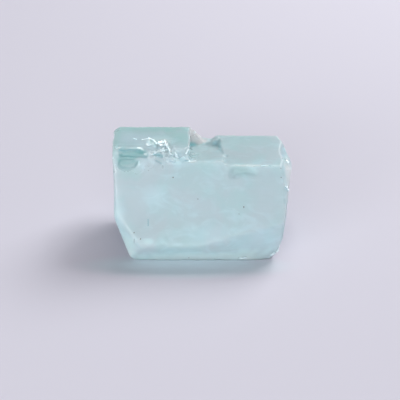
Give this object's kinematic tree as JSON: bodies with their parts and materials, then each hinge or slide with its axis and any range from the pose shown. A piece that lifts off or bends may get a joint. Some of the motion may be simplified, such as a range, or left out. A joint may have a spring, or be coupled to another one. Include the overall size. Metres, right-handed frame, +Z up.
{
  "type": "raw emerald",
  "caption": "Stubby six-sided crystal prism that lies on a prism face, broken off at both ends, with a raised block, a wedge-shaped notch and a lower block along its top.",
  "frame": {"origin": "middle of the bounding box's bottom, under the stone as it lies", "axes": "+X along the prism's long axis, from the raised block towards the lower block; +Y away from the widest face that leans back; +Z up from the face that the stone lies on"},
  "size_m": [0.0242, 0.0162, 0.0143],
  "materials": {
    "crystal": "cloudy pale blue-green crystal, with smooth growth faces and frosted breaks"
  },
  "bodies": {
    "root": {"raw_emerald": "crystal"}
  },
  "joints": []
}
